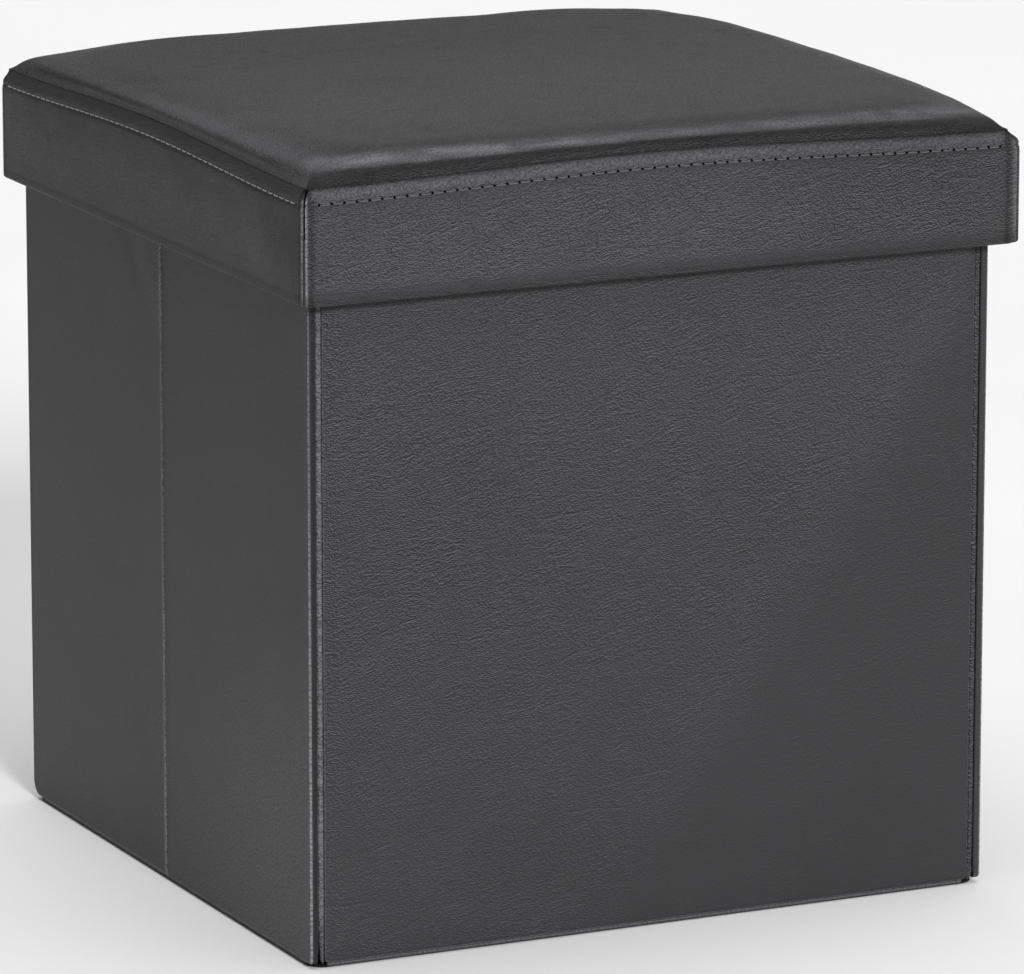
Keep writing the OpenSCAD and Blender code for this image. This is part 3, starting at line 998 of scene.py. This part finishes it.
def build_stitches(quarter):
    """A row of topstitches below the seam, with a near-black dot of painted shade standing for the needle
    hole at each end of a thread.
    """
    count = int((2 * LID_HALF - 15) / STITCH_PITCH)
    holes = (np.arange(count + 1) - count / 2) * STITCH_PITCH
    holes = holes + 0.25 * lumps(columns(holes, 0, quarter), 5, 41)
    plain = quarter in (0, 2)
    hole = 0.66 if plain else 0.34
    along = np.linspace(0.13, 0.87, 7)
    arch = np.sin(math.pi * along)
    threads, dots = [], []
    for a, b in zip(holes[:-1], holes[1:]):
        x = a + (b - a) * along
        z = seam_height(x) - STITCH_DROP - 0.28 * arch
        threads.append(columns(x, -skirt_reach(x, z, quarter) - 0.34 * arch ** 0.6 + 0.12, z))
    z = seam_height(holes) - STITCH_DROP
    for point in columns(holes, -skirt_reach(holes, z, quarter), z):
        dots.append(point - columns(0, (-0.5, 0.0, 0.3, 0.36), 0))
    for label, paths, radii, sides, material in (
        ("topstitch", threads, [THREAD_RADIUS] * 7, 6, THREAD if plain else PAINTED_LIT_THREAD),
        ("needle_hole_shade", dots, [hole, hole, 0.95 * hole, 0.7 * hole], 8, HOLE_SHADE),
    ):
        size = sides * len(radii)
        faces = [face for k in range(len(paths)) for face in tube_faces(len(radii), sides, k * size)]
        points = np.concatenate([tube_points(path, radii, sides) for path in paths])
        name = f"lid_{label}_{SIDES[quarter]}"
        finish_piece(make_piece(name, swayed(turned(points, quarter)), faces, material), "lid")


for quarter in range(4):
    build_skirt(quarter)
    build_stitches(quarter)


# The pad's cloth from the seam inwards: distance along the cloth, how far in from the
# skirt's face it lies, and the share of its height above the seam.
PAD_ALONG = np.array([0, 1.3, 2.8, 4.4, 6.2, 8.4, 10.9, 14.0, 18.5, 26, 40, 70, 200.3])
PAD_INSET = np.array([2.8, 2.4, 2.0, 1.8, 1.8, 2.3, 3.4, 5.6, 9.4, 16.4, 30.2, 60.2, LID_HALF])
PAD_RISE = np.array([0, 0.08, 0.17, 0.28, 0.40, 0.52, 0.62, 0.70, 0.78, 0.855, 0.92, 0.97, 1])
PAD_CORNER = 7.0
# The pressure simulation, its frames, the passes that even its motion out, and the most
# that a point may move.
CLOTH = {
    "quality": 6, "mass": 0.3, "tension_stiffness": 12, "compression_stiffness": 12,
    "shear_stiffness": 12, "bending_stiffness": 0.6, "vertex_group_mass": "held",
    "use_pressure": True, "uniform_pressure_force": 4.0, "shrink_min": -0.01,
}
FRAMES, EVENING, PAD_LIMIT = 20, 14, 2.2


def smooth_least(a, b, width):
    share = np.clip(0.5 + 0.5 * (b - a) / width, 0, 1)
    return b * (1 - share) + a * share - width * share * (1 - share)


def pad_sheet(step):
    """The pad's cloth as an open square grid: its points, how many make a row, how far each
    is along the cloth from the seam, how far up its shoulder it is, and its flow."""
    near = np.array([0, 1.3, 2.8, 4.6, 6.8, 9.4, 12.6, 16.4])
    length = 2 * PAD_ALONG[-1]
    middle = np.linspace(near[-1], length - near[-1], round(length / step))[1:-1]
    lines = np.concatenate([near, middle, length - near[::-1]])
    u, v = grid(lines, lines)
    from_u, from_v = np.minimum(u, length - u), np.minimum(v, length - v)
    far = np.maximum(from_u, from_v)
    open_side = ease(far / 70)

    def reach(away):
        bulged = np.interp(away, PAD_ALONG, PAD_INSET)
        sloped = np.maximum(bulged, PAD_INSET[0] + 0.42 * away)
        return LID_HALF - bulged * open_side - sloped * (1 - open_side)

    half = LID_HALF
    x = np.sign(u - length / 2) * reach(from_u) + half
    y = np.sign(v - length / 2) * reach(from_v) + half
    x, y = round_corners(x, y, 2 * half, 2 * half, (PAD_CORNER,) * 4)
    x, y = x - half, y - half
    along = np.clip(smooth_least(from_u, from_v, 4.0), 0, None)
    along = np.where(np.minimum(from_u, from_v) < 0.01, 0, along)
    pull = ease((from_u - from_v) / 30 + 0.5)
    seam = seam_height(x) * pull + seam_height(y) * (1 - pull)
    slower = 1 - (0.68 - 0.26 * ease((-x - y) / 300)) * np.exp(-far / 68)
    climb = along * slower
    z = seam + np.interp(climb, PAD_ALONG, PAD_RISE) * (CROWN_Z - COVER_T - seam)
    return swayed(columns(x, y, z)), len(lines), along, climb, columns(u, v)


def read(data, name, width=1):
    """A mesh layer's values as an array."""
    values = np.zeros(width * len(data))
    data.foreach_get(name, values)
    return values.reshape(-1, width) if width > 1 else values


def swollen(points, count, along):
    """The pad's cloth blown up by pressure with its seam held. Each point's motion is
    evened out with its neighbours' and capped."""
    sheet = make_piece("pad_start", points, grid_faces(count, count), TOP_CLOTH)
    held = sheet.vertex_groups.new(name="held")
    for weight, chosen in ((1.0, along < 0.7), (0.6, (along >= 0.7) & (along < 2.2))):
        held.add(np.nonzero(chosen)[0].tolist(), weight, "REPLACE")
    cloth = sheet.modifiers.new("cloth", "CLOTH")
    for name, value in CLOTH.items():
        setattr(cloth.settings, name, value)
    cloth.settings.effector_weights.gravity = 0
    cloth.collision_settings.use_collision = False
    scene = bpy.context.scene
    cloth.point_cache.frame_start, cloth.point_cache.frame_end = 1, FRAMES
    for number in range(FRAMES):
        scene.frame_set(number + 1)
    done = sheet.evaluated_get(bpy.context.evaluated_depsgraph_get())
    moved = read(done.data.vertices, "co", 3) / MM
    scene.frame_set(1)
    bpy.data.objects.remove(sheet, do_unlink=True)
    shift = (moved - points).reshape(count, count, 3)
    for _ in range(EVENING):
        around = shift[:-2, 1:-1] + shift[2:, 1:-1] + shift[1:-1, :-2] + shift[1:-1, 2:]
        shift[1:-1, 1:-1] = 0.2 * (shift[1:-1, 1:-1] + around)
    shift = shift.reshape(-1, 3)
    size = np.linalg.norm(shift, axis=1)
    cap = PAD_LIMIT * (0.3 + 0.7 * ease((along - 6) / 14))
    return points + shift * (cap * np.tanh(size / cap) / np.maximum(size, 1e-6))[:, None]


def build_pad():
    """The padded top: cloth over foam, gathered into fine puckers along its seam, with painted shade along
    the seam and under the shoulder, and a painted highlight on the shoulder.
    """
    points, count, along, climb, flow = pad_sheet(5.0)
    points = swollen(points, count, along)
    points[:, 2] -= max(0.0, points[:, 2].max() - CROWN_Z) * ease((along - 4) / 50)
    # The two attributes carry climb and along through the subdivision, and then get
    # their own values.
    pad = make_piece("lid_pad_cloth", points, grid_faces(count, count), TOP_CLOTH, flow, climb, along)
    smooth = pad.modifiers.new("smooth", "SUBSURF")
    smooth.levels = smooth.render_levels = 2
    smooth.boundary_smooth = "PRESERVE_CORNERS"
    done = pad.evaluated_get(bpy.context.evaluated_depsgraph_get())
    mesh = bpy.data.meshes.new_from_object(done)
    pad.modifiers.clear()
    pad.data = mesh
    at, normal = read(mesh.vertices, "co", 3) / MM, read(mesh.vertices, "normal", 3)
    climb, along = (read(mesh.attributes[label].data, "value") for label in ("wear_and_painted_light", "grain"))
    x, y = at[:, 0], at[:, 1]
    beside = np.abs(x) > np.abs(y)
    side = np.where(beside, y, x)
    spot = columns(side, 0, 3 * np.sign(x) * beside)
    pucker = lumps(spot, 3.2, 51) * bell((along - 3.5) / 3)
    pucker += 0.8 * lumps(spot, 5.5, 52) * bell((along - 9) / 4)
    full = 0.35 * lumps(at, 90, 53) + 0.12 * lumps(at * (0.4, 1.2, 1), 30, 54)
    at += normal * (0.09 * pucker * ease(along / 1.2) + full * ease((along - 10) / 30))[:, None]
    mesh.vertices.foreach_set("co", (at * MM).ravel())
    # Painted light and shade: a dark line at the seam and a dark band below the shoulder, weaker near the
    # corners; a painted highlight along the shoulder, strongest at the front towards the near corner; and
    # painted shade over the back of the pad.
    shade_band = ease((along - 0.6) / 1.0) * ease((11 - climb) / 4) * ease((LID_HALF - np.abs(side)) / 50)
    front = ease((-y - np.abs(x)) / 30 + 0.7)
    shoulder_highlight = 0.16 + front * (0.28 + 0.34 * ease((20 - x) / 180))
    wear_and_painted_light = -0.6 * bell(along / 0.5) - 0.45 * shade_band
    wear_and_painted_light += shoulder_highlight * bell((climb - 16) / 6.5) * (1 + 0.5 * lumps(at * (0.4, 1, 1), 4, 55))
    wear_and_painted_light -= 0.38 * ease((y + 80) / 250)
    strength = 1.5 - 0.35 * bell((along - 12) / 8)
    for label, values in (("wear_and_painted_light", wear_and_painted_light), ("grain", strength)):
        mesh.attributes[label].data.foreach_set("value", values.astype(np.float32))
    thick = pad.modifiers.new("thickness", "SOLIDIFY")
    thick.thickness, thick.offset = COVER_T * MM, -1
    thick.use_quality_normals = True
    finish_piece(pad, "lid", "lid_top_cover")


def build_foam():
    """The foam block under the pad's cloth, with rolled edges."""
    low, high = box_mm("lid_foam")
    inset, corner, roll, below_crown = 6.0, 26.0, 16.0, 8.0
    w = high[0] - low[0] - 2 * inset
    lines = spaced(w, 12.0, corner)
    u, v, distance, rolls = rounded_grid(lines, lines, w, w, (corner,) * 4, (roll,) * 4)
    top = columns(u - w / 2, v - w / 2, CROWN_Z - below_crown - rolled_back(distance, rolls))
    heights = (SEAM_Z - 6, low[2] + 6, low[2])
    foam = make_piece("lid_foam_block", *block_below(top, len(lines), len(lines), heights), FOAM)
    finish_piece(foam, "lid", "lid_foam")


def build_lid_lining():
    """The cloth under the lid, stapled round its edge and slack in the middle."""
    low, high = box_mm("lid_lining")
    w = high[0] - low[0]
    lines = spaced(w, 7.0, 2.0)
    u, v = grid(lines, lines)
    at = columns(u + low[0], v + low[1], 0)
    inside = np.minimum(np.minimum(u, w - u), np.minimum(v, w - v))
    slack = ease((inside - 14) / 60)
    dip = 0.7 + 0.5 * lumps(at, 80, 61) + 0.25 * lumps(at, 25, 62)
    at[:, 2] = low[2] - slack * np.clip(dip, 0.1, None)
    points, faces = two_sided(at, at + (0, 0, high[2] - low[2]), len(lines), len(lines))
    lining = make_piece("lid_lining_cloth", points, flipped(faces), LINING)
    finish_piece(lining, "lid", "lid_lining")


build_pad()
build_foam()
build_lid_lining()


# ---------------- carried-over parts

for name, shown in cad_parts.items():
    if "board" in name or "rim" in name:
        material = HARDBOARD if name == "base_board" else FIBREBOARD
        shown.data.materials.clear()
        shown.data.materials.append(GREYBOARD if name.startswith("lid_rim") else material)


# ---------------- studio

FLOOR_HALF = 12000
# The camera's place and lens, in degrees, metres and millimetres, were fitted to the
# photograph's corners.
CAMERA_TURN, CAMERA_LIFT, CAMERA_AWAY = -25.396, 12.7, 3.8796
AIM_RIGHT, AIM_UP = 0.0076, 0.18389
LENS, SENSOR = 269.9, 36.0


def direction_of(azimuth, elevation):
    """A direction from its angles in degrees, with 0 azimuth in front."""
    turn, lift = math.radians(azimuth), math.radians(elevation)
    return Vector((math.sin(turn) * math.cos(lift), -math.cos(turn) * math.cos(lift), math.sin(lift)))


def point_back(thing, direction):
    """Turns a light or camera to look against a direction."""
    thing.rotation_mode = "QUATERNION"
    thing.rotation_quaternion = (-direction).to_track_quat("-Z", "Y")
    bpy.context.scene.collection.objects.link(thing)


def build_floor():
    """A plain pale floor, just under the object."""
    corners = [(x * FLOOR_HALF, y * FLOOR_HALF, 0) for x, y in ((-1, -1), (1, -1), (1, 1), (-1, 1))]
    s = Surface("studio_floor")
    cloud = s.noise(s.place(), 3.0, 3.0)
    paint = s.finish(s.mixed(cloud, (0.92,) * 3, (0.95,) * 3), s.ranged(cloud, 0.3, 0.7, 0.7, 0.8), 0.2)
    floor = make_piece("studio_floor", corners, [(0, 1, 2, 3)], paint)
    floor.location.z = -0.3 * MM


def add_key(azimuth, elevation, spread, power):
    """A distant soft light from above and near the camera, so that its shadow falls
    behind the object. Angles are in degrees."""
    data = bpy.data.lights.new("key", "SUN")
    data.energy, data.angle = power, math.radians(spread)
    point_back(bpy.data.objects.new("key", data), direction_of(azimuth, elevation))


def build_world():
    """A soft bright ceiling over a dim room, a little brighter at the back right."""
    world = bpy.data.worlds.new("studio")
    n = Nodes(world)
    direction = n.add("TexCoord")["Generated"]
    height = n.maths("MAXIMUM", n.add("SeparateXYZ", {0: direction})[2], 0.0)
    ceiling = n.product(n.maths("POWER", height, 8.0), 2.8)
    towards = n.vectors("DOT_PRODUCT", direction, (0.75, 0.6, 0.0))["Value"]
    room = n.ranged(towards, -0.4, 1.0, 0.06, 0.36)
    background = n.tree.nodes["Background"].inputs
    n.put(n.maths("ADD", ceiling, room), background["Strength"])
    background["Color"].default_value = (1, 1, 1, 1)
    bpy.context.scene.world = world


def build_camera():
    """A long lens at the photograph's angle."""
    data = bpy.data.cameras.new("camera")
    data.lens, data.sensor_width = LENS, SENSOR
    data.clip_end = 100
    camera = bpy.data.objects.new("camera", data)
    back = direction_of(CAMERA_TURN, CAMERA_LIFT)
    right = Vector((math.cos(math.radians(CAMERA_TURN)), math.sin(math.radians(CAMERA_TURN)), 0))
    camera.location = right * AIM_RIGHT + Vector((0, 0, AIM_UP)) + back * CAMERA_AWAY
    point_back(camera, back)
    bpy.context.scene.camera = camera


build_floor()
build_world()
add_key(-5, 25, 14, 2.3)
build_camera()
bpy.context.scene.view_settings.view_transform = "Standard"
